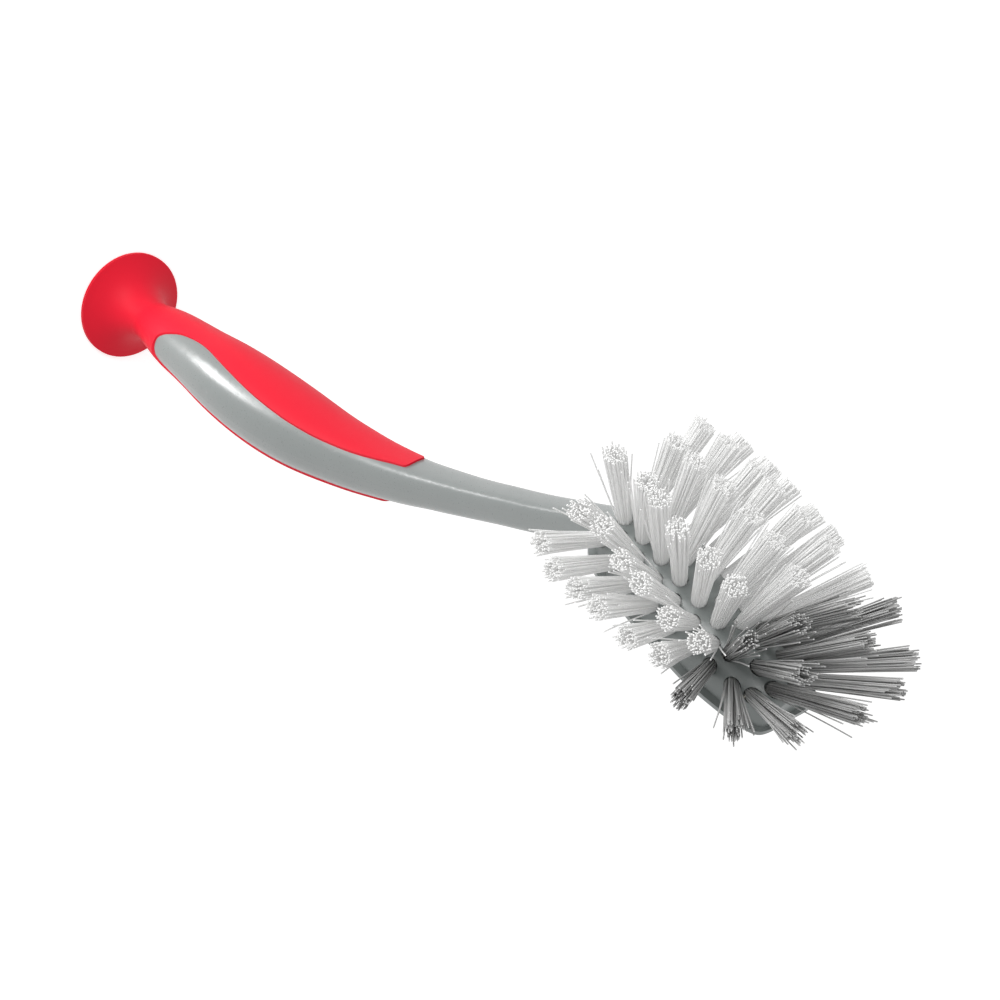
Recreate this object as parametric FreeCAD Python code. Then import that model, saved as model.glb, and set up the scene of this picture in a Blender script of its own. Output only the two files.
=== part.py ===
import FreeCAD, Part
import math
import os

Vec = FreeCAD.Vector

# Dish brush standing on its suction foot. Lengths are in millimetres.
# The foot's rim lies on the XY plane around the origin and the brush rises along +Z.
# The bristles face -Y and the YZ plane runs through the middle of the handle.

# Suction foot
cup_radius = 14.5
rim_width = 1.4
rim_thickness = 1.0
cup_hollow = 5.2
cup_height = 15.5
stem_radius = 4.4
stem_blend = 5.0

# Handle: its centreline bows in the YZ plane
handle_length = 217.0
grip_half_width = 10.1
grip_half_depth = 9.6
neck_half_width = 3.95
neck_half_depth = 4.1
core_start = 8.0
neck_run_in = 10.0

# Soft grip moulded on to the core
grip_proud = 0.5
grip_depth = 1.6
grip_start = 7.0
strip_length = 136.0
back_strip_length = 125.0
core_overrun = 20.0
strip_split = 0.3
strip_corner = 1.5

# Head: a domed block on a thin lip
head_length = 59.2
head_behind = 3.6
dome_radius = 11.9
dome_height = 8.0
lip_half_width = 13.1
lip_overhang = 0.8
lip_thickness = 1.6
lip_edge = 0.5
crown_rise = 4.5
crown_advance = 12.9

# Bristle tufts and their holes
tuft_pitch = 6.53
tip_margin = 3.1
grey_run = 16.7
hole_radius = 1.8
hole_depth = 2.4
tuft_play = 0.1
tuft_tip_radius = 2.45
white_length = 24.0
grey_length = 25.5
anchor_height = 0.8
anchor_thickness = 0.5

# Angles in degrees: the handle's lean towards the bristles along its length
handle_lean_shares = (0.0, 0.128, 0.282, 0.462, 0.641, 0.821, 1.0)
handle_lean_deg = (-1.8, -4.6, -2.8, 6.4, 14.7, 16.9, 19.0)
head_lean_deg = -23.5
row_step_deg = 20.0
fan_step_deg = 23.8
lean_at_neck_deg = -2.0
lean_gain_deg = 51.0
row_lean_deg = (3.7, 0.0, 0.0, 0.0, 0.0, 0.0)
row_close_deg = (21.8, 0.0, 0.0, 0.0, 0.0, 0.0)

# Along the handle: share of its length, and how far it swells from neck to full grip
swell_shares = (
    (0.030, 0.20), (0.065, 0.21), (0.083, 0.34), (0.101, 0.46), (0.124, 0.56), (0.171, 0.71),
    (0.212, 0.86), (0.254, 0.96), (0.295, 1.00), (0.336, 0.985), (0.378, 0.92), (0.419, 0.81),
    (0.461, 0.67), (0.507, 0.54), (0.548, 0.42), (0.590, 0.32), (0.631, 0.23), (0.673, 0.155),
    (0.714, 0.105), (0.756, 0.06), (0.843, 0.02), (0.922, 0.0), (1.0, 0.0),
)

# Along the handle: share of its length, and how square its section is, 2 being an ellipse
roundness_shares = (
    (0.0, 2.0), (0.10, 2.05), (0.20, 2.12), (0.295, 2.15), (0.42, 2.25), (0.507, 2.43),
    (0.59, 2.6), (0.673, 2.79), (0.756, 2.94), (0.85, 3.1), (1.0, 3.2),
)

# Along the handle: share of its length, and the half width of each soft strip
# as a share of the full grip's half width. The front strip reaches further round
# the left side, so it has a half width for the right and one for the left.
front_strip_shares = (
    (0.018, 0.80, 0.80), (0.046, 0.782, 0.782), (0.074, 0.782, 0.782), (0.097, 0.772, 0.772),
    (0.1083, 0.748, 0.748), (0.1152, 0.693, 0.70), (0.118, 0.624, 0.665), (0.1226, 0.554, 0.635),
    (0.1373, 0.426, 0.622), (0.1525, 0.317, 0.648), (0.1724, 0.248, 0.695), (0.1926, 0.228, 0.735),
    (0.2175, 0.272, 0.768), (0.2424, 0.356, 0.792), (0.27, 0.436, 0.805), (0.3023, 0.515, 0.81),
    (0.335, 0.574, 0.80), (0.3664, 0.604, 0.775), (0.401, 0.614, 0.73), (0.4327, 0.594, 0.68),
    (0.4627, 0.563, 0.625), (0.49, 0.526, 0.58), (0.52, 0.481, 0.533), (0.5475, 0.424, 0.485),
    (0.575, 0.359, 0.437), (0.60, 0.297, 0.392), (0.6267, 0.25, 0.345),
)
back_strip_shares = (
    (0.018, 0.80), (0.046, 0.782), (0.074, 0.782), (0.097, 0.772), (0.1083, 0.757), (0.1152, 0.743),
    (0.1226, 0.713), (0.132, 0.673), (0.143, 0.644), (0.161, 0.639), (0.184, 0.673), (0.212, 0.733),
    (0.254, 0.795), (0.295, 0.828), (0.336, 0.824), (0.378, 0.795), (0.419, 0.743), (0.461, 0.673),
    (0.507, 0.594), (0.548, 0.515), (0.590, 0.446), (0.6267, 0.406),
)

# Along the foot's flank: share of the fall from rim to stem, in radius and in height
cup_flank_shares = (
    (0.0, 0.0), (0.226, 0.073), (0.443, 0.172), (0.64, 0.31), (0.79, 0.491), (0.884, 0.672),
    (0.94, 0.862), (1.0, 1.0),
)

# Across the head: shares of its half length at which the block's sections stand
head_section_shares = (
    -0.99, -0.96, -0.88, -0.74, -0.5, -0.2, 0.1, 0.4, 0.62, 0.78, 0.88, 0.94, 0.975, 0.992,
)
lip_tip_shares = (0.15, 0.3, 0.45, 0.6, 0.72, 0.82, 0.9, 0.95, 0.98, 0.995)

# How full the head's plan and crown are at the neck and at the tip, and how it narrows to the tip
plan_fullness = 3.6
tip_plan_fullness = 9.0
crown_fullness = 5.0
tip_crown_fullness = 7.0
taper_start_share = 0.25
taper_share = 0.30
taper_power = 1.5
dome_edge_deg = 70.0

# White tufts: six rows, every second row moved on by a share of the pitch
row_names = "abcdef"
row_phase_shares = (0.0, 0.46, 0.0, 0.46, 0.0, 0.46)

# Grey tufts: name, pitches from the last station, angle round the dome, sideways and forward lean
grey_station_shares = (
    ("a7", -2.10, 48.6, 51.6, 21.3),
    ("a8", -1.09, 47.5, 46.5, 37.4),
    ("a9", -0.33, 40.3, 26.0, 47.6),
    ("b7", -1.90, 23.6, 20.1, 25.4),
    ("c8", -0.93, 11.2, 15.9, 39.0),
    ("c9", 0.0, 14.4, -5.4, 52.8),
    ("d7", -1.78, -7.9, 7.8, 28.3),
    ("d9", -0.04, -17.2, -37.4, 50.5),
    ("e7", -2.12, -29.0, -25.0, 33.0),
    ("e8", -0.90, -27.0, -19.0, 36.1),
    ("f7", -1.53, -52.3, -57.2, 28.3),
    ("f8", -0.64, -53.5, -57.5, 40.9),
)

section_points = 32
dome_points = 15
curve_steps = 400

ORIGIN = Vec(0, 0, 0)
SIDE = Vec(1, 0, 0)
UP = Vec(0, 0, 1)


def along(table, share):
    """Value of a two-column table at a share, in straight steps."""
    for (low, first), (high, last) in zip(table, table[1:]):
        if share <= high:
            part = max(0.0, (share - low) / (high - low))
            return first + (last - first) * part
    return table[-1][1]


def handle_lean(share):
    """Lean of the centreline from the vertical towards the bristles."""
    return math.radians(along(tuple(zip(handle_lean_shares, handle_lean_deg)), share))


def forward(lean):
    """Direction of travel along the handle or head at a lean."""
    return Vec(0, -math.sin(lean), math.cos(lean))


def outward(lean):
    """Direction that the bristle side faces at a lean."""
    return Vec(0, -math.cos(lean), -math.sin(lean))


def trace_centreline():
    """Points of the handle's centreline at even steps from foot to head."""
    step = handle_length / curve_steps
    points = [ORIGIN]
    for index in range(curve_steps):
        lean = handle_lean((index + 0.5) / curve_steps)
        points.append(points[-1] + forward(lean) * step)
    return points


centreline = trace_centreline()


def centre_at(arc):
    """Point of the centreline at an arc length, carried on straight past the end."""
    place = arc / handle_length * curve_steps
    index = min(int(place), curve_steps - 1)
    step = centreline[index + 1] - centreline[index]
    return centreline[index] + step * (place - index)


def closed_curve(points):
    """Smooth closed wire through points."""
    curve = Part.BSplineCurve()
    curve.interpolate(Points=points, PeriodicFlag=True)
    return Part.Wire(curve.toShape())


def open_curve(points):
    """Smooth open edge through points."""
    curve = Part.BSplineCurve()
    curve.interpolate(Points=points)
    return curve.toShape()


def signed_power(value, power):
    """Power of a number that keeps its sign."""
    return math.copysign(abs(value) ** power, value)


def handle_section(arc, growth):
    """Wire round the handle at an arc length, grown or shrunk all round."""
    share = arc / handle_length
    swell = along(swell_shares, share)
    half_width = neck_half_width + (grip_half_width - neck_half_width) * swell + growth
    half_depth = neck_half_depth + (grip_half_depth - neck_half_depth) * swell + growth
    roundness = along(roundness_shares, share)
    front = outward(handle_lean(share))
    centre = centre_at(arc)
    points = []
    for index in range(section_points):
        turn = 2 * math.pi * index / section_points
        across = half_width * signed_power(math.cos(turn), 2 / roundness)
        deep = half_depth * signed_power(math.sin(turn), 2 / roundness)
        points.append(centre + SIDE * across + front * deep)
    return closed_curve(points)


def handle_body(first, last, growth):
    """Solid along the handle between two arc lengths."""
    arcs = [share * handle_length for share, swell in swell_shares]
    margin = handle_length / curve_steps
    inside = [arc for arc in arcs if first + margin < arc < last - margin]
    wires = [handle_section(arc, growth) for arc in [first] + inside + [last]]
    return Part.makeLoft(wires, True, False)


def half_block(facing):
    """Block round one side of the gripped length, split along the handle's middle."""
    reach = grip_half_depth * 3
    seam = []
    for index in range(section_points + 1):
        arc = (strip_length + core_overrun) * index / section_points
        seam.append(centre_at(arc) - outward(handle_lean(arc / handle_length)) * strip_split)
    seam = [Vec(-reach, point.y, point.z) for point in seam]
    away = Vec(0, -facing * reach, 0)
    edges = [
        open_curve(seam),
        Part.makeLine(seam[-1], seam[-1] + away),
        Part.makeLine(seam[-1] + away, seam[0] + away),
        Part.makeLine(seam[0] + away, seam[0]),
    ]
    return Part.Face(Part.Wire(edges)).extrude(SIDE * (2 * reach))


def strip_block(table, facing):
    """Block as wide as a soft strip, on the bristle side where facing is 1 and behind where -1."""
    reach = grip_half_depth * 3
    right = []
    left = []
    for share, right_width, left_width in table:
        height = centre_at(share * handle_length).z
        right.append(Vec(right_width * grip_half_width, -reach, height))
        left.append(Vec(-left_width * grip_half_width, -reach, height))
    corner = UP * strip_corner
    right_end = right[-1] + corner - SIDE * strip_corner
    left_end = left[-1] + corner + SIDE * strip_corner
    edges = [
        open_curve(right),
        quarter_round(right[-1], right_end),
        Part.makeLine(right_end, left_end),
        quarter_round(left[-1], left_end),
        open_curve(left),
        Part.makeLine(left[0], right[0]),
    ]
    face = Part.Face(Part.Wire(Part.__sortEdges__(edges)))
    return face.extrude(Vec(0, 2 * reach, 0)).common(half_block(facing))


def quarter_round(side, end):
    """Rounded corner from the end of a strip's side, which runs along +Z, to the strip's end."""
    centre = Vec(end.x, side.y, side.z)
    bulge = (side - centre + end - centre) / math.sqrt(2)
    return Part.Arc(side, centre + bulge, end).toShape()


def suction_cup():
    """Foot: a round cup, hollow underneath, that rises to the stem."""
    fall = cup_radius - stem_radius
    rise = cup_height - rim_thickness
    flank = []
    for across, up in cup_flank_shares:
        flank.append(Vec(cup_radius - fall * across, 0, rim_thickness + rise * up))
    inner = cup_radius - rim_width
    crown = Vec(0, 0, cup_hollow)
    quarter = inner / math.sqrt(2)
    shoulder = Vec(quarter, 0, cup_hollow / 2)
    edges = [
        Part.makeLine(Vec(inner, 0, 0), Vec(cup_radius, 0, 0)),
        Part.makeLine(Vec(cup_radius, 0, 0), flank[0]),
        open_curve(flank),
        Part.makeLine(flank[-1], Vec(0, 0, cup_height)),
        Part.makeLine(Vec(0, 0, cup_height), crown),
        open_curve([crown, shoulder, Vec(inner, 0, 0)]),
    ]
    profile = Part.Face(Part.Wire(Part.__sortEdges__(edges)))
    profile.rotate(ORIGIN, UP, 180)
    return profile.revolve(ORIGIN, UP, 360)


def blend_stem(grip):
    """Round off the ring where the collar comes out of the foot's flank."""
    ring = []
    for edge in grip.Edges:
        box = edge.BoundBox
        if not edge.Degenerated and cup_hollow < box.ZMin and box.ZMax < cup_height:
            ring.append(edge)
    return grip.makeFillet(stem_blend, ring)


def strip_table(shares, length):
    """Strip widths, right and left, stretched along the handle so that the strip ends at its length."""
    stretch = (length - strip_corner) / handle_length / shares[-1][0]
    return tuple((row[0] * stretch, row[1], row[-1]) for row in shares)


# Head frame: the crown at the first row of tufts
head_lean = math.radians(head_lean_deg)
head_forward = forward(head_lean)
head_outward = outward(head_lean)
neck_lean = handle_lean(1.0)
head_start = centre_at(handle_length) + outward(neck_lean) * crown_rise + forward(neck_lean) * crown_advance
last_station = head_length - head_behind - tip_margin


def head_point(station, across, depth):
    """Point of the head: along it from the first tufts, across it, and down from the crown."""
    return head_start + head_forward * station + SIDE * across - head_outward * depth


def fullness(share, power):
    """Rounded plan: full in the middle and falling to nothing at both ends."""
    return (1 - abs(share) ** power) ** (1 / power)


def plan_width(share):
    """Share of the full width at a share of the head's half length, positive towards the tip."""
    if share < 0:
        return fullness(share, plan_fullness)
    run = max(0.0, share - taper_start_share) / (1 - taper_start_share)
    return fullness(share, tip_plan_fullness) * (1 - taper_share * run ** taper_power)


def dome_place(station, turn):
    """Width and depth of the dome's surface at a station and an angle round it."""
    middle = head_length / 2 - head_behind
    share = (station - middle) / (head_length / 2)
    power = crown_fullness if share < 0 else tip_crown_fullness
    across = dome_radius * math.sin(turn) * plan_width(share)
    height = dome_height - dome_radius * (1 - math.cos(turn))
    return across, dome_height - height * fullness(share, power)


def dome_section(station):
    """Wire round the block at a station: an arch closed by its base."""
    edge = math.radians(dome_edge_deg)
    points = []
    for index in range(dome_points):
        turn = edge * (2 * index / (dome_points - 1) - 1)
        across, depth = dome_place(station, turn)
        points.append(head_point(station, across, depth))
    foot_left = head_point(station, dome_place(station, -edge)[0], dome_height + lip_thickness / 2)
    foot_right = head_point(station, dome_place(station, edge)[0], dome_height + lip_thickness / 2)
    edges = [
        open_curve(points),
        Part.makeLine(points[-1], foot_right),
        Part.makeLine(foot_right, foot_left),
        Part.makeLine(foot_left, points[0]),
    ]
    return Part.Wire(edges)


def head_block():
    """Domed block that holds the tufts."""
    middle = head_length / 2 - head_behind
    wires = [dome_section(middle + share * head_length / 2) for share in head_section_shares]
    return Part.makeLoft(wires, True, False)


def head_lip():
    """Thin plate round the back of the block."""
    half = head_length / 2 + lip_overhang
    middle = head_length / 2 - head_behind
    outline = []
    for index in range(1, section_points // 2 + 1):
        turn = math.pi * (1 - index / section_points)
        share = signed_power(math.cos(turn), 2 / plan_fullness)
        outline.append((share, math.sin(turn) ** (2 / plan_fullness)))
    outline += [(share, plan_width(share)) for share in lip_tip_shares]
    mirrored = [(share, -width) for share, width in reversed(outline)]
    points = []
    for share, width in [(-1, 0)] + outline + [(1, 0)] + mirrored:
        points.append(head_point(middle + half * share, lip_half_width * width, dome_height))
    face = Part.Face(closed_curve(points))
    plate = face.extrude(head_outward * -lip_thickness)
    return plate.makeFillet(lip_edge, plate.Edges[:1] + plate.Edges[2:])


def white_tufts():
    """Name, station, angle round the dome and the two leans of each white tuft."""
    last_count = int((last_station - grey_run) / tuft_pitch - max(row_phase_shares))
    rows = []
    for row, name in enumerate(row_names):
        place = (len(row_names) - 1) / 2 - row
        for count in range(last_count + 1):
            station = (count + row_phase_shares[row]) * tuft_pitch
            share = station / head_length
            lean = lean_at_neck_deg + row_lean_deg[row] + lean_gain_deg * share ** 2
            sideways = place * fan_step_deg - row_close_deg[row] * share
            rows.append((name + str(count + 1), station, place * row_step_deg, sideways, lean))
    return rows


def grey_tufts():
    """The same five values for each grey tuft at the tip."""
    rows = []
    for name, pitches, turn, sideways, lean in grey_station_shares:
        rows.append((name, last_station + pitches * tuft_pitch, turn, sideways, lean))
    return rows


def tuft_axis(station, turn, sideways, lean):
    """Point where a tuft leaves the dome, and the direction in which it stands."""
    across, depth = dome_place(station, math.radians(turn))
    level = head_outward * math.cos(math.radians(sideways)) + SIDE * math.sin(math.radians(sideways))
    direction = level * math.cos(math.radians(lean)) + head_forward * math.sin(math.radians(lean))
    return head_point(station, across, depth), direction


def stand(shape, point, direction):
    """Move a shape made along +Z so that it stands at a point along a direction."""
    shape.Placement = FreeCAD.Placement(point, FreeCAD.Rotation(UP, direction))
    return shape


def tuft_solid(length):
    """Tuft along +Z: straight in its hole and spreading to its trimmed end."""
    seat = hole_depth - anchor_height
    root = hole_radius - tuft_play
    shank = Part.makeCylinder(root, seat, Vec(0, 0, -seat))
    spread = Part.makeCone(root, tuft_tip_radius, length)
    return shank.fuse(spread)


def anchor_solid():
    """Small metal strip across the bottom of a hole."""
    half = hole_radius - tuft_play
    corner = Vec(-half, -anchor_thickness / 2, -hole_depth)
    return Part.makeBox(2 * half, anchor_thickness, anchor_height, corner)


def hole_solid():
    """Tool for a hole: from its bottom to well clear of the dome."""
    return Part.makeCylinder(hole_radius, hole_depth * 2, Vec(0, 0, -hole_depth))


def save(shape, name):
    """Write one node."""
    shape.exportStep("parts/" + name + ".step")


os.makedirs("parts", exist_ok=True)
tufts = [("white_tuft_", white_length) + row for row in white_tufts()]
tufts += [("grey_tuft_", grey_length) + row for row in grey_tufts()]
holes = []
anchors = []
for kind, length, name, station, turn, sideways, lean in tufts:
    point, direction = tuft_axis(station, turn, sideways, lean)
    save(stand(tuft_solid(length), point, direction), kind + name)
    holes.append(stand(hole_solid(), point, direction))
    anchors.append(stand(anchor_solid(), point, direction))
save(Part.makeCompound(anchors), "tuft_anchors")

# The soft grip, with the foot: two long strips and a collar round the end of the core
front_strip = strip_block(strip_table(front_strip_shares, strip_length), 1)
back_strip = strip_block(strip_table(back_strip_shares, back_strip_length), -1)
strips = front_strip.fuse(back_strip)
inner_end = strip_length + core_overrun
inner_core = handle_body(core_start, inner_end, -grip_depth)
wrap = handle_body(grip_start, inner_end, grip_proud).common(strips)
save(blend_stem(wrap.fuse(suction_cup())).cut(inner_core), "suction_grip")

# The hard core: handle, neck and head in one piece, cut back under the soft strips
core = handle_body(core_start, handle_length + neck_run_in, 0.0).cut(strips)
core = core.fuse([inner_core, head_block(), head_lip()])
save(core.cut(Part.makeCompound(holes)), "handle_core")
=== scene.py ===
import math
import random

import bpy
import numpy as np
from mathutils import Matrix, Vector


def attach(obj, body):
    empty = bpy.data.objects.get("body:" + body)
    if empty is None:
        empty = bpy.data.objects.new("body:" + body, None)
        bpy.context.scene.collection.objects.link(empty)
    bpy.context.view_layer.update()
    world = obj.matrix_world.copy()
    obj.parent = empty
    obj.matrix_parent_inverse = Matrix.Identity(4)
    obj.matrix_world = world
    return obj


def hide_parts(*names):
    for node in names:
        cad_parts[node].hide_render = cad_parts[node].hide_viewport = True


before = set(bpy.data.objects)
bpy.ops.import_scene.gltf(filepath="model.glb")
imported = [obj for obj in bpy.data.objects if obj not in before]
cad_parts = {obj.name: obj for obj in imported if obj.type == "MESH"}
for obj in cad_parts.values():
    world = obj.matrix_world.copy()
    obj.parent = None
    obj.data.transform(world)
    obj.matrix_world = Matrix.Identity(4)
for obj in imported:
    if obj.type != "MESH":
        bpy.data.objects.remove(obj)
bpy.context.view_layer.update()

bl_info = {
    "name": "Dish Brush",
    "version": (1, 0, 0),
    "blender": (4, 5, 0),
    "location": "3D View > Sidebar > Dish Brush",
    "description": "Dresses a dish brush: satin handle, soft red grip and tufts of nylon bristles",
    "category": "Object",
}

BODY = "root"
WHITE_TUFTS = sorted(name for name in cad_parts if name.startswith("white_tuft"))
GREY_TUFTS = sorted(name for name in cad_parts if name.startswith("grey_tuft"))
WHITE_SEED = 41
GREY_SEED = 67

# One strand, in metres
RING_SIDES = 5
STRAND_STEPS = 4
STRAND_REACH = 0.025

# How strands stand in a tuft: lengths in metres, the rest as shares of a radius
GOLDEN_TURN = math.pi * (3 - math.sqrt(5))
LOCK_COUNT = 5
LOCK_RING = (0.35, 0.8)
LOCK_PULL = (0.2, 1.0)
SEAT_FIT = 1.03
TUFT_SQUASH = (0.88, 1.0)
TUFT_LEAN = 0.0007
END_SCATTER = (0.9, 1.08)
STRAND_BOW = 0.0002
STRAND_WANDER = 0.00012
LONG_STRAND_TRIM = 0.3
STRAY_REACH = (1.2, 2.1)
STRAY_BOW = (-0.0004, 0.001)
STRAY_CUT = (-0.0012, 0.0008)

# Stage: places and sizes in metres
KEY_PLACE = (0.4, -1.02, 0.2)
KEY_TARGET = (0, -0.02, 0.17)
KEY_SIZE = (0.7, 0.8)
PANEL_PLACE = (0.0378, -0.0355, 0.003)
PANEL_SIZE = (0.018, 0.031)
PANEL_TURN = (math.pi, 0, math.radians(62))
FLOOR_GLOW = 0.5
SENSOR_WIDTH_MM = 36.0


class HandleFinish(bpy.types.PropertyGroup):
    """Colours of the hard handle, the soft grip and the metal in the holes."""

    core_colour: bpy.props.FloatVectorProperty(
        name="Handle grey", description="Hard satin plastic of the handle and head",
        subtype="COLOR", size=4, min=0, max=1, default=(0.225, 0.246, 0.241, 1))
    grip_colour: bpy.props.FloatVectorProperty(
        name="Grip red", description="Soft moulded strips and suction foot",
        subtype="COLOR", size=4, min=0, max=1, default=(0.79, 0.013, 0.036, 1))
    anchor_colour: bpy.props.FloatVectorProperty(
        name="Anchor metal", description="Flat strips that pin the tufts in their holes",
        subtype="COLOR", size=4, min=0, max=1, default=(0.55, 0.53, 0.48, 1))


class BristleLook(bpy.types.PropertyGroup):
    """Sizes and colours of the nylon bristles."""

    white_radius: bpy.props.FloatProperty(
        name="White strand radius", description="Radius of one white strand",
        subtype="DISTANCE", unit="LENGTH", min=0.0001, max=0.0005, default=0.00017)
    grey_radius: bpy.props.FloatProperty(
        name="Grey strand radius", description="Radius of one grey strand",
        subtype="DISTANCE", unit="LENGTH", min=0.0001, max=0.0005, default=0.00017)
    white_strands: bpy.props.IntProperty(
        name="White strands", description="Strands in one white tuft", min=10, max=150, default=120)
    grey_strands: bpy.props.IntProperty(
        name="Grey strands", description="Strands in one grey tuft", min=10, max=150, default=66)
    white_colour: bpy.props.FloatVectorProperty(
        name="White nylon", description="Clear white bristles",
        subtype="COLOR", size=4, min=0, max=1, default=(0.93, 0.93, 0.925, 1))
    grey_colour: bpy.props.FloatVectorProperty(
        name="Grey nylon", description="Grey bristles at the tip",
        subtype="COLOR", size=4, min=0, max=1, default=(0.61, 0.61, 0.605, 1))
    white_spread: bpy.props.FloatProperty(
        name="White spread", description="How far white tufts open at their ends",
        min=0.5, max=2.0, default=1.2)
    grey_spread: bpy.props.FloatProperty(
        name="Grey spread", description="How far grey tufts open at their ends",
        min=0.5, max=2.0, default=1.12)
    white_strays: bpy.props.FloatProperty(
        name="White strays", description="Share of white strands that stand apart",
        subtype="FACTOR", min=0, max=1, default=0.05)
    grey_strays: bpy.props.FloatProperty(
        name="Grey strays", description="Share of grey strands that stand apart",
        subtype="FACTOR", min=0, max=1, default=0.2)
    white_clumping: bpy.props.FloatProperty(
        name="White clumping", description="How far white strands gather in small locks",
        subtype="FACTOR", min=0, max=1, default=0.15)
    grey_clumping: bpy.props.FloatProperty(
        name="Grey clumping", description="How far grey strands gather in small locks",
        subtype="FACTOR", min=0, max=1, default=0.4)
    white_raggedness: bpy.props.FloatProperty(
        name="White raggedness", description="How unevenly white strands are cut",
        subtype="DISTANCE", unit="LENGTH", min=0, max=0.003, default=0.0003)
    grey_raggedness: bpy.props.FloatProperty(
        name="Grey raggedness", description="How unevenly grey strands are cut",
        subtype="DISTANCE", unit="LENGTH", min=0, max=0.003, default=0.0009)


class StageSettings(bpy.types.PropertyGroup):
    """Floor, light and camera."""

    floor_size: bpy.props.FloatProperty(
        name="Floor size", description="Width of the pale floor",
        subtype="DISTANCE", unit="LENGTH", min=1, max=50, default=14)
    floor_colour: bpy.props.FloatVectorProperty(
        name="Floor colour", description="Plain pale floor",
        subtype="COLOR", size=4, min=0, max=1, default=(0.88, 0.88, 0.88, 1))
    sky_level: bpy.props.FloatProperty(
        name="Sky level", description="Even light from all round", min=0, max=2, default=0.62)
    key_power: bpy.props.FloatProperty(
        name="Key power", description="Soft box in front of the bristles",
        subtype="POWER", unit="POWER", min=0, max=200, default=8.5)
    panel_power: bpy.props.FloatProperty(
        name="Panel power", description="Small panel on the floor that draws the gloss on the handle",
        subtype="POWER", unit="POWER", min=0, max=10, default=0.034)
    camera_place: bpy.props.FloatVectorProperty(
        name="Camera place", description="Where the camera stands",
        subtype="XYZ", unit="LENGTH", size=3, default=(0.355046, -0.455376, 0.750127))
    camera_right: bpy.props.FloatVectorProperty(
        name="Camera right", description="Direction of the picture's right side",
        subtype="DIRECTION", size=3, default=(-0.79789, 0.13079, 0.58845))
    camera_back: bpy.props.FloatVectorProperty(
        name="Camera back", description="Direction from the brush to the camera",
        subtype="DIRECTION", size=3, default=(0.43848, -0.54395, 0.71544))
    camera_lens: bpy.props.FloatProperty(
        name="Camera lens", description="Focal length in millimetres",
        subtype="DISTANCE_CAMERA", min=10, max=300, default=127.52)


def add_node(tree, kind, **values):
    """New shader node with some of its properties and unlinked inputs set."""
    node = tree.nodes.new(kind)
    for name, value in values.items():
        if hasattr(node, name):
            setattr(node, name, value)
        else:
            node.inputs[name.replace("_", " ")].default_value = value
    return node


def new_material(name):
    """Empty material with a Principled shader joined to its output."""
    material = bpy.data.materials.new(name)
    material.use_nodes = True
    tree = material.node_tree
    tree.nodes.clear()
    shader = add_node(tree, "ShaderNodeBsdfPrincipled")
    output = add_node(tree, "ShaderNodeOutputMaterial")
    tree.links.new(shader.outputs["BSDF"], output.inputs["Surface"])
    return material, tree, shader


def new_group(name, inputs, outputs):
    """Shader node group with float or colour sockets given as name and kind."""
    group = bpy.data.node_groups.new(name, "ShaderNodeTree")
    for label, kind, start in inputs:
        socket = group.interface.new_socket(label, in_out="INPUT", socket_type=kind)
        socket.default_value = start
    for label, kind in outputs:
        group.interface.new_socket(label, in_out="OUTPUT", socket_type=kind)
    return group, group.nodes.new("NodeGroupInput"), group.nodes.new("NodeGroupOutput")


def mix_colours(tree, blend):
    """Factor, two inputs and result sockets of a new colour mix node with a blend type."""
    node = tree.nodes.new("ShaderNodeMix")
    node.data_type = "RGBA"
    node.blend_type = blend
    return node.inputs[0], node.inputs[6], node.inputs[7], node.outputs[2]


def moulded_skin_group():
    """Fine mould grain and broad cloudiness of a moulded plastic surface."""
    group, start, end = new_group(
        "moulded_skin",
        [("Colour", "NodeSocketColor", (0.5, 0.5, 0.5, 1)), ("Cloud", "NodeSocketFloat", 0.1),
         ("Cloud Scale", "NodeSocketFloat", 40.0), ("Grain Scale", "NodeSocketFloat", 2500.0),
         ("Roughness Low", "NodeSocketFloat", 0.3), ("Roughness High", "NodeSocketFloat", 0.4)],
        [("Colour", "NodeSocketColor"), ("Roughness", "NodeSocketFloat"), ("Grain", "NodeSocketFloat")])
    links = group.links
    place = add_node(group, "ShaderNodeTexCoord")
    cloud = add_node(group, "ShaderNodeTexNoise", Detail=4.0, Roughness=0.55)
    grain = add_node(group, "ShaderNodeTexNoise", Detail=3.0, Roughness=0.6)
    for noise, scale in ((cloud, "Cloud Scale"), (grain, "Grain Scale")):
        links.new(place.outputs["Object"], noise.inputs["Vector"])
        links.new(start.outputs[scale], noise.inputs["Scale"])
    shade = add_node(group, "ShaderNodeMath", operation="MULTIPLY")
    links.new(cloud.outputs["Fac"], shade.inputs[0])
    links.new(start.outputs["Cloud"], shade.inputs[1])
    factor, first, second, result = mix_colours(group, "MULTIPLY")
    links.new(shade.outputs["Value"], factor)
    links.new(start.outputs["Colour"], first)
    links.new(start.outputs["Colour"], second)
    finish = add_node(group, "ShaderNodeMapRange")
    finish.inputs["From Min"].default_value = 0.3
    finish.inputs["From Max"].default_value = 0.7
    links.new(grain.outputs["Fac"], finish.inputs["Value"])
    links.new(start.outputs["Roughness Low"], finish.inputs["To Min"])
    links.new(start.outputs["Roughness High"], finish.inputs["To Max"])
    links.new(result, end.inputs["Colour"])
    links.new(finish.outputs["Result"], end.inputs["Roughness"])
    links.new(grain.outputs["Fac"], end.inputs["Grain"])
    return group


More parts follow.
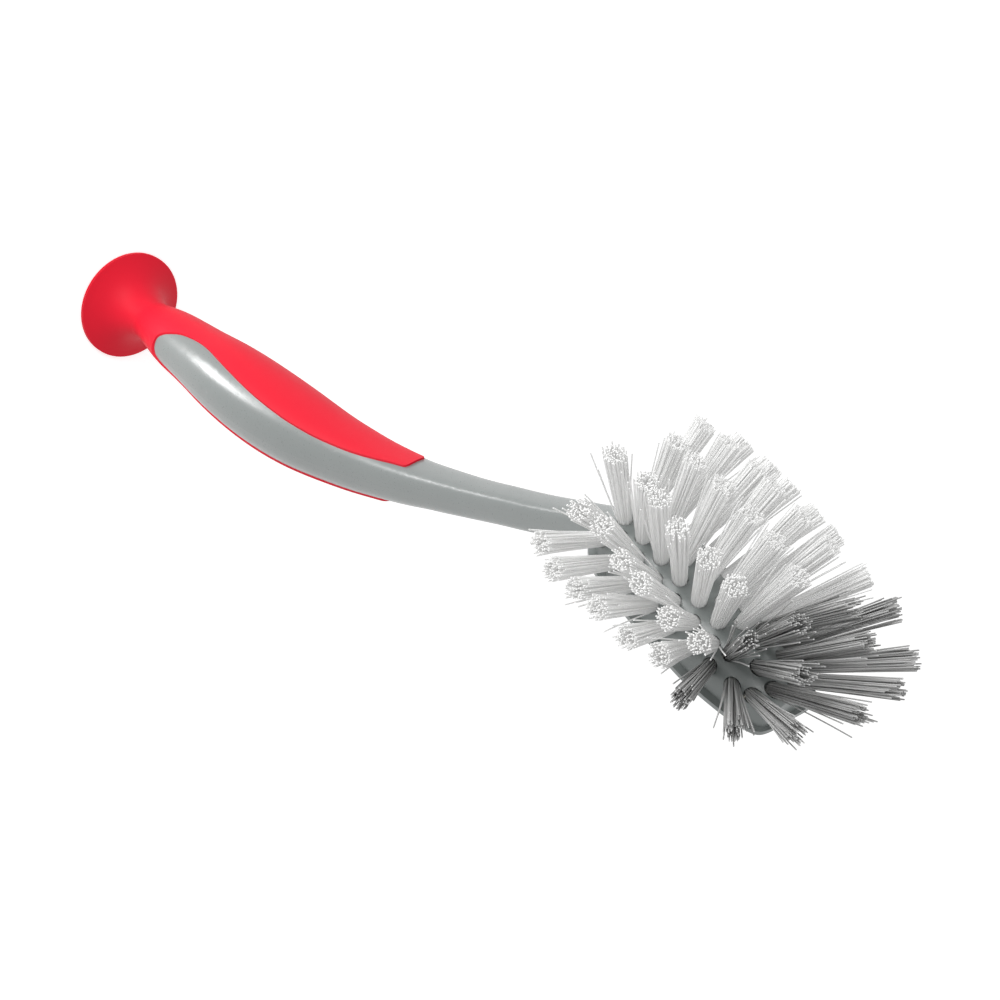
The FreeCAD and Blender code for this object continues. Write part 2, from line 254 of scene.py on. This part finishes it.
def strand_tone_group():
    """Tone of a bristle strand: each strand differs a little, and its root is painted darker, a painted
    shade where the strands crowd into the hole.
    """
    group, start, end = new_group(
        "strand_tone",
        [("Colour", "NodeSocketColor", (0.8, 0.8, 0.8, 1)), ("Strand Contrast", "NodeSocketFloat", 0.2),
         ("Root Shade", "NodeSocketFloat", 0.2), ("Roughness Low", "NodeSocketFloat", 0.3),
         ("Roughness High", "NodeSocketFloat", 0.4)],
        [("Colour", "NodeSocketColor"), ("Roughness", "NodeSocketFloat")])
    links = group.links
    lay = add_node(group, "ShaderNodeUVMap", uv_map="strand")
    split = add_node(group, "ShaderNodeSeparateXYZ")
    links.new(lay.outputs["UV"], split.inputs["Vector"])
    varied = add_node(group, "ShaderNodeMath", operation="MULTIPLY")
    links.new(split.outputs["X"], varied.inputs[0])
    links.new(start.outputs["Strand Contrast"], varied.inputs[1])
    # Painted shade: strands are mixed towards near black close to the root, where they crowd into the
    # hole.
    root_shade_ramp = add_node(group, "ShaderNodeMapRange", interpolation_type="SMOOTHSTEP")
    root_shade_ramp.inputs["From Min"].default_value = 0.45
    root_shade_ramp.inputs["From Max"].default_value = 0.0
    links.new(split.outputs["Y"], root_shade_ramp.inputs["Value"])
    links.new(start.outputs["Root Shade"], root_shade_ramp.inputs["To Max"])
    total = add_node(group, "ShaderNodeMath", operation="ADD", use_clamp=True)
    links.new(varied.outputs["Value"], total.inputs[0])
    links.new(root_shade_ramp.outputs["Result"], total.inputs[1])
    factor, first, second, result = mix_colours(group, "MIX")
    second.default_value = (0.02, 0.02, 0.02, 1)
    links.new(total.outputs["Value"], factor)
    links.new(start.outputs["Colour"], first)
    finish = add_node(group, "ShaderNodeMapRange")
    links.new(split.outputs["X"], finish.inputs["Value"])
    links.new(start.outputs["Roughness Low"], finish.inputs["To Min"])
    links.new(start.outputs["Roughness High"], finish.inputs["To Max"])
    links.new(result, end.inputs["Colour"])
    links.new(finish.outputs["Result"], end.inputs["Roughness"])
    return group


def shared_group(name, build):
    """The named node group, built on first use."""
    return bpy.data.node_groups.get(name) or build()


def moulded_material(name, colour, cloud, scales, roughness, bump):
    """Moulded plastic or rubber with grain in its colour, gloss and surface."""
    material, tree, shader = new_material(name)
    skin = add_node(tree, "ShaderNodeGroup")
    skin.node_tree = shared_group("moulded_skin", moulded_skin_group)
    skin.inputs["Colour"].default_value = colour
    skin.inputs["Cloud"].default_value = cloud
    skin.inputs["Cloud Scale"].default_value = scales[0]
    skin.inputs["Grain Scale"].default_value = scales[1]
    skin.inputs["Roughness Low"].default_value = roughness[0]
    skin.inputs["Roughness High"].default_value = roughness[1]
    dent = add_node(tree, "ShaderNodeBump", Strength=bump, Distance=0.0001)
    links = tree.links
    links.new(skin.outputs["Grain"], dent.inputs["Height"])
    links.new(skin.outputs["Colour"], shader.inputs["Base Color"])
    links.new(skin.outputs["Roughness"], shader.inputs["Roughness"])
    links.new(dent.outputs["Normal"], shader.inputs["Normal"])
    return material, shader


def nylon_material(name, colour, contrast, root_shade, roughness, glow):
    """Nylon strands, each a little different, with a faint painted glow that stands in for light
    passing through.
    """
    material, tree, shader = new_material(name)
    tone = add_node(tree, "ShaderNodeGroup")
    tone.node_tree = shared_group("strand_tone", strand_tone_group)
    tone.inputs["Colour"].default_value = colour
    tone.inputs["Strand Contrast"].default_value = contrast
    tone.inputs["Root Shade"].default_value = root_shade
    tone.inputs["Roughness Low"].default_value = roughness[0]
    tone.inputs["Roughness High"].default_value = roughness[1]
    tree.links.new(tone.outputs["Colour"], shader.inputs["Base Color"])
    tree.links.new(tone.outputs["Roughness"], shader.inputs["Roughness"])
    tree.links.new(tone.outputs["Colour"], shader.inputs["Emission Color"])
    shader.inputs["Emission Strength"].default_value = glow
    shader.inputs["IOR"].default_value = 1.53
    return material


def paint(node, material):
    """Give a carried-over node one material."""
    node.data.materials.clear()
    node.data.materials.append(material)


def deselect_all():
    """Leave edit mode and select nothing."""
    if bpy.context.object and bpy.context.object.mode != "OBJECT":
        bpy.ops.object.mode_set(mode="OBJECT")
    bpy.ops.object.select_all(action="DESELECT")


def model_strand(radius, materials):
    """One straight strand along +Z, drawn up from a ring in equal steps, with a cut end."""
    deselect_all()
    bpy.ops.mesh.primitive_circle_add(
        vertices=RING_SIDES, radius=radius, fill_type="NGON", location=(0, 0, 0))
    strand = bpy.context.object
    strand.name = "strand_pattern"
    bpy.ops.object.mode_set(mode="EDIT")
    bpy.ops.mesh.select_all(action="SELECT")
    for step in range(STRAND_STEPS):
        bpy.ops.mesh.extrude_region_move(
            TRANSFORM_OT_translate={"value": (0, 0, STRAND_REACH / STRAND_STEPS)})
    bpy.ops.mesh.select_all(action="SELECT")
    bpy.ops.mesh.normals_make_consistent(inside=False)
    bpy.ops.object.mode_set(mode="OBJECT")
    bpy.ops.object.shade_smooth_by_angle(angle=math.radians(80))
    for material in materials:
        strand.data.materials.append(material)
    for face in strand.data.polygons:
        face.material_index = 1 if face.center.z > STRAND_REACH * 0.999 else 0
    while strand.data.uv_layers:
        strand.data.uv_layers.remove(strand.data.uv_layers[0])
    lay = strand.data.uv_layers.new(name="strand")
    for loop in strand.data.loops:
        lay.data[loop.index].uv = (0.5, strand.data.vertices[loop.vertex_index].co.z / STRAND_REACH)
    return strand


def tuft_ends(node):
    """Centre and radius of a tuft's seat in its hole and of its cut end, from its solid."""
    points = np.unique(np.round([vertex.co for vertex in node.data.vertices], 6), axis=0)
    middle = points.mean(axis=0)
    axis = np.linalg.svd(points - middle)[2][0]
    along = (points - middle) @ axis
    ends = []
    for ring in (points[along < along.min() + 2e-5], points[along > along.max() - 2e-5]):
        centre = ring.mean(axis=0)
        ends.append((np.linalg.norm(ring - centre, axis=1).max(), centre))
    ends.sort(key=lambda end: end[0])
    return ends[0][1], ends[0][0], ends[1][1], ends[1][0]


def lay_strand(pattern, foot, tip, bow, shade, side, over):
    """Copy of the strand pattern from its foot to its tip, bowed sideways in between."""
    strand = pattern.copy()
    strand.data = pattern.data.copy()
    bpy.context.collection.objects.link(strand)
    count = len(strand.data.vertices)
    place = np.empty(count * 3, np.float32)
    strand.data.vertices.foreach_get("co", place)
    place = place.reshape(-1, 3)
    share = place[:, 2:3] / STRAND_REACH
    line = foot + (tip - foot) * share + bow * (share * share)
    moved = line + place[:, 0:1] * side + place[:, 1:2] * over
    strand.data.vertices.foreach_set("co", moved.astype(np.float32).ravel())
    lay = strand.data.uv_layers["strand"]
    spots = np.empty(len(lay.data) * 2, np.float32)
    lay.data.foreach_get("uv", spots)
    spots[0::2] = shade
    lay.data.foreach_set("uv", spots)
    return strand


class TuftKind:
    """What all tufts of one colour share."""

    def __init__(self, look, colour, materials, slot, seed):
        self.prefix = colour + "_bristles_"
        self.radius = getattr(look, colour + "_radius")
        self.strands = getattr(look, colour + "_strands")
        self.spread = getattr(look, colour + "_spread")
        self.strays = getattr(look, colour + "_strays")
        self.clumping = getattr(look, colour + "_clumping")
        self.raggedness = getattr(look, colour + "_raggedness")
        self.materials = materials
        self.slot = slot
        self.dice = random.Random(seed)


def lock_centres(dice):
    """Spots across a unit disc at which strands gather."""
    spots = []
    for index in range(LOCK_COUNT):
        turn = 2 * math.pi * (index + dice.uniform(0.1, 0.9)) / LOCK_COUNT
        spots.append(dice.uniform(*LOCK_RING) * np.array((math.cos(turn), math.sin(turn))))
    return spots


def scatter(dice, width):
    """Small random step sideways."""
    return np.array((dice.gauss(0, width), dice.gauss(0, width)))


def build_tuft(node, pattern, kind):
    """One tuft of strands that fan from the node's hole to its cut end."""
    dice = kind.dice
    foot, foot_radius, tip, tip_radius = tuft_ends(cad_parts[node])
    axis = (tip - foot) / np.linalg.norm(tip - foot)
    side = np.cross(axis, (1.0, 0.0, 0.0) if abs(axis[0]) < 0.8 else (0.0, 1.0, 0.0))
    side /= np.linalg.norm(side)
    over = np.cross(axis, side)
    start = dice.uniform(0, 2 * math.pi)
    squash = np.array((1.0, dice.uniform(*TUFT_SQUASH)))
    lean = scatter(dice, TUFT_LEAN)
    locks = lock_centres(dice)
    near_radius = foot_radius * SEAT_FIT - kind.radius
    far_radius = tip_radius * kind.spread - kind.radius
    strands = []
    for index in range(kind.strands):
        turn = start + index * GOLDEN_TURN
        ring = math.sqrt((index + 0.5) / kind.strands)
        spot = ring * np.array((math.cos(turn), math.sin(turn)))
        lock = min(locks, key=lambda centre: np.linalg.norm(centre - spot))
        end = spot * dice.uniform(*END_SCATTER)
        end = end + (lock - spot) * kind.clumping * dice.uniform(*LOCK_PULL)
        bow = scatter(dice, STRAND_BOW)
        cut = dice.gauss(0, kind.raggedness)
        if dice.random() < kind.strays:
            end *= dice.uniform(*STRAY_REACH)
            bow += spot * dice.uniform(*STRAY_BOW)
            cut += dice.uniform(*STRAY_CUT)
        wander = scatter(dice, STRAND_WANDER)
        first = spot * squash * near_radius
        last = end * squash * far_radius + lean + wander
        strands.append(lay_strand(
            pattern, foot + first[0] * side + first[1] * over,
            tip + axis * (cut - abs(cut) * LONG_STRAND_TRIM) + last[0] * side + last[1] * over,
            bow[0] * side + bow[1] * over, dice.random(), side, over))
    deselect_all()
    for strand in strands:
        strand.select_set(True)
    bpy.context.view_layer.objects.active = strands[0]
    bpy.ops.object.join()
    tuft = bpy.context.object
    tuft.name = kind.prefix + node.split("_")[-1]
    tuft.data.name = tuft.name
    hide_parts(node)
    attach(tuft, BODY)


def build_tufts(nodes, kind):
    """All tufts of one colour."""
    pattern = model_strand(kind.radius, kind.materials)
    for node in nodes:
        build_tuft(node, pattern, kind)
    mesh = pattern.data
    bpy.data.objects.remove(pattern)
    bpy.data.meshes.remove(mesh)


class OBJECT_OT_brush_handle_core(bpy.types.Operator):
    """Satin finish on the handle, neck and head"""

    bl_idname = "object.brush_handle_core"
    bl_label = "Finish Handle Core"
    bl_options = {"REGISTER", "UNDO"}

    def execute(self, context):
        finish = context.scene.brush_handle
        material, shader = moulded_material(
            "satin_grey_plastic", tuple(finish.core_colour), 0.15, (55.0, 2200.0), (0.27, 0.31), 0.015)
        shader.inputs["IOR"].default_value = 1.5
        shader.inputs["Specular IOR Level"].default_value = 0.6
        shader.inputs["Coat Roughness"].default_value = 0.25
        shader.inputs["Coat Weight"].default_value = 0.2
        paint(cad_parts["handle_core"], material)
        return {"FINISHED"}


class OBJECT_OT_brush_suction_grip(bpy.types.Operator):
    """Soft red finish on the grip strips and the foot"""

    bl_idname = "object.brush_suction_grip"
    bl_label = "Finish Suction Grip"
    bl_options = {"REGISTER", "UNDO"}

    def execute(self, context):
        finish = context.scene.brush_handle
        material, shader = moulded_material(
            "soft_red_rubber", tuple(finish.grip_colour), 0.12, (45.0, 2600.0), (0.46, 0.54), 0.05)
        shader.inputs["IOR"].default_value = 1.48
        shader.inputs["Specular IOR Level"].default_value = 0.15
        paint(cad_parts["suction_grip"], material)
        return {"FINISHED"}


class OBJECT_OT_brush_anchors(bpy.types.Operator):
    """Metal finish on the strips at the bottom of the holes"""

    bl_idname = "object.brush_anchors"
    bl_label = "Finish Anchors"
    bl_options = {"REGISTER", "UNDO"}

    def execute(self, context):
        finish = context.scene.brush_handle
        material, shader = moulded_material(
            "cut_flat_wire", tuple(finish.anchor_colour), 0.3, (900.0, 4000.0), (0.3, 0.45), 0.1)
        shader.inputs["Metallic"].default_value = 1.0
        paint(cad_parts["tuft_anchors"], material)
        return {"FINISHED"}


class OBJECT_OT_brush_white_tufts(bpy.types.Operator):
    """Tufts of white nylon strands"""

    bl_idname = "object.brush_white_tufts"
    bl_label = "Build White Tufts"
    bl_options = {"REGISTER", "UNDO"}

    def execute(self, context):
        look = context.scene.brush_bristles
        colour = tuple(look.white_colour)
        # The white nylon carries a painted glow (0.075 on the sides, 0.06 on the cut ends) for light
        # passing through the strands.
        side = nylon_material("white_nylon", colour, 0.05, 0.05, (0.36, 0.5), 0.075)
        end = nylon_material("white_nylon_cut", colour, 0.08, 0.0, (0.5, 0.6), 0.06)
        build_tufts(WHITE_TUFTS, TuftKind(look, "white", (side, end), "white_nylon", WHITE_SEED))
        return {"FINISHED"}


class OBJECT_OT_brush_grey_tufts(bpy.types.Operator):
    """Tufts of grey nylon strands at the tip"""

    bl_idname = "object.brush_grey_tufts"
    bl_label = "Build Grey Tufts"
    bl_options = {"REGISTER", "UNDO"}

    def execute(self, context):
        look = context.scene.brush_bristles
        colour = tuple(look.grey_colour)
        side = nylon_material("grey_nylon", colour, 0.5, 0.25, (0.3, 0.4), 0.0)
        # Paler copy of the grey for the cut ends: a painted highlight for the light that the strand
        # ends catch.
        pale = tuple(min(1.0, value * 1.2) for value in colour)
        end = nylon_material("grey_nylon_cut", pale, 0.4, 0.0, (0.5, 0.6), 0.0)
        build_tufts(GREY_TUFTS, TuftKind(look, "grey", (side, end), "grey_nylon", GREY_SEED))
        return {"FINISHED"}


def floor_material(colour):
    """Pale floor that looks white to the camera and still takes the brush's shadow."""
    material, tree, shader = new_material("pale_floor")
    shader.inputs["Base Color"].default_value = colour
    shader.inputs["Roughness"].default_value = 0.9
    shader.inputs["Specular IOR Level"].default_value = 0.1
    shader.inputs["Emission Color"].default_value = (1, 1, 1, 1)
    path = add_node(tree, "ShaderNodeLightPath")
    seen = add_node(tree, "ShaderNodeMath", operation="MAXIMUM")
    mirrored = add_node(tree, "ShaderNodeMath", operation="MAXIMUM")
    glow = add_node(tree, "ShaderNodeMath", operation="MULTIPLY")
    glow.inputs[1].default_value = FLOOR_GLOW
    tree.links.new(path.outputs["Is Camera Ray"], seen.inputs[0])
    tree.links.new(path.outputs["Is Glossy Ray"], seen.inputs[1])
    tree.links.new(seen.outputs["Value"], mirrored.inputs[0])
    tree.links.new(path.outputs["Is Transmission Ray"], mirrored.inputs[1])
    tree.links.new(mirrored.outputs["Value"], glow.inputs[0])
    tree.links.new(glow.outputs["Value"], shader.inputs["Emission Strength"])
    return material


def white_world(level):
    """Even white surroundings: plain light on the brush, white to the camera."""
    world = bpy.data.worlds.new("white_room")
    world.use_nodes = True
    tree = world.node_tree
    tree.nodes.clear()
    sky = add_node(tree, "ShaderNodeBackground")
    sky.inputs["Color"].default_value = (1, 1, 1, 1)
    path = add_node(tree, "ShaderNodeLightPath")
    strength = add_node(tree, "ShaderNodeMapRange")
    strength.inputs["To Min"].default_value = level
    strength.inputs["To Max"].default_value = 1.0
    output = add_node(tree, "ShaderNodeOutputWorld")
    seen = add_node(tree, "ShaderNodeMath", operation="MAXIMUM")
    mirrored = add_node(tree, "ShaderNodeMath", operation="MAXIMUM")
    tree.links.new(path.outputs["Is Camera Ray"], seen.inputs[0])
    tree.links.new(path.outputs["Is Glossy Ray"], seen.inputs[1])
    tree.links.new(seen.outputs["Value"], mirrored.inputs[0])
    tree.links.new(path.outputs["Is Transmission Ray"], mirrored.inputs[1])
    tree.links.new(mirrored.outputs["Value"], strength.inputs["Value"])
    tree.links.new(strength.outputs["Result"], sky.inputs["Strength"])
    tree.links.new(sky.outputs["Background"], output.inputs["Surface"])
    return world


def soft_box(name, place, turn, size, power):
    """Rectangular lamp at a place, turned so that its face points the right way."""
    lamp = bpy.data.lights.new(name, "AREA")
    lamp.shape = "RECTANGLE"
    lamp.size, lamp.size_y = size
    lamp.energy = power
    holder = bpy.data.objects.new(name, lamp)
    holder.location = place
    holder.rotation_euler = turn
    holder.visible_camera = False
    bpy.context.scene.collection.objects.link(holder)


def aim(place, target):
    """Turn that points a lamp from its place at a target."""
    return (Vector(target) - Vector(place)).to_track_quat("-Z", "Y").to_euler()


class OBJECT_OT_brush_stage(bpy.types.Operator):
    """Pale floor, soft light and the camera"""

    bl_idname = "object.brush_stage"
    bl_label = "Set Stage"
    bl_options = {"REGISTER", "UNDO"}

    def execute(self, context):
        scene = context.scene
        stage = scene.brush_stage
        deselect_all()
        bpy.ops.mesh.primitive_plane_add(size=stage.floor_size, location=(0, 0, 0))
        floor = context.object
        floor.name = "floor"
        paint(floor, floor_material(tuple(stage.floor_colour)))
        scene.world = white_world(stage.sky_level)
        soft_box("key_soft_box", KEY_PLACE, aim(KEY_PLACE, KEY_TARGET), KEY_SIZE, stage.key_power)
        soft_box("floor_panel", PANEL_PLACE, PANEL_TURN, PANEL_SIZE, stage.panel_power)
        lens = bpy.data.cameras.new("photo_camera")
        lens.lens = stage.camera_lens
        lens.sensor_width = SENSOR_WIDTH_MM
        lens.clip_start = 0.01
        camera = bpy.data.objects.new("photo_camera", lens)
        right = Vector(stage.camera_right).normalized()
        back = Vector(stage.camera_back).normalized()
        up = back.cross(right)
        turn = Matrix((right, up, back)).transposed().to_4x4()
        camera.matrix_world = Matrix.Translation(Vector(stage.camera_place)) @ turn
        scene.collection.objects.link(camera)
        scene.camera = camera
        scene.view_settings.view_transform = "Standard"
        return {"FINISHED"}


class VIEW3D_PT_dish_brush(bpy.types.Panel):
    """Sidebar panel with the brush's steps and settings"""

    bl_label = "Dish Brush"
    bl_idname = "VIEW3D_PT_dish_brush"
    bl_space_type = "VIEW_3D"
    bl_region_type = "UI"
    bl_category = "Dish Brush"

    def draw(self, context):
        layout = self.layout
        for step in STEPS:
            layout.operator(step.bl_idname)
        scene = context.scene
        for group in (scene.brush_handle, scene.brush_bristles, scene.brush_stage):
            box = layout.box()
            for name in group.__annotations__:
                box.prop(group, name)


STEPS = (
    OBJECT_OT_brush_handle_core,
    OBJECT_OT_brush_suction_grip,
    OBJECT_OT_brush_anchors,
    OBJECT_OT_brush_white_tufts,
    OBJECT_OT_brush_grey_tufts,
    OBJECT_OT_brush_stage,
)
CLASSES = (HandleFinish, BristleLook, StageSettings) + STEPS + (VIEW3D_PT_dish_brush,)


def register():
    for cls in CLASSES:
        bpy.utils.register_class(cls)
    bpy.types.Scene.brush_handle = bpy.props.PointerProperty(type=HandleFinish)
    bpy.types.Scene.brush_bristles = bpy.props.PointerProperty(type=BristleLook)
    bpy.types.Scene.brush_stage = bpy.props.PointerProperty(type=StageSettings)


def unregister():
    del bpy.types.Scene.brush_stage
    del bpy.types.Scene.brush_bristles
    del bpy.types.Scene.brush_handle
    for cls in reversed(CLASSES):
        bpy.utils.unregister_class(cls)


def main():
    """Dress the brush and set the stage."""
    register()
    bpy.ops.object.brush_handle_core()
    bpy.ops.object.brush_suction_grip()
    bpy.ops.object.brush_anchors()
    bpy.ops.object.brush_white_tufts()
    bpy.ops.object.brush_grey_tufts()
    bpy.ops.object.brush_stage()


if __name__ == "__main__":
    main()
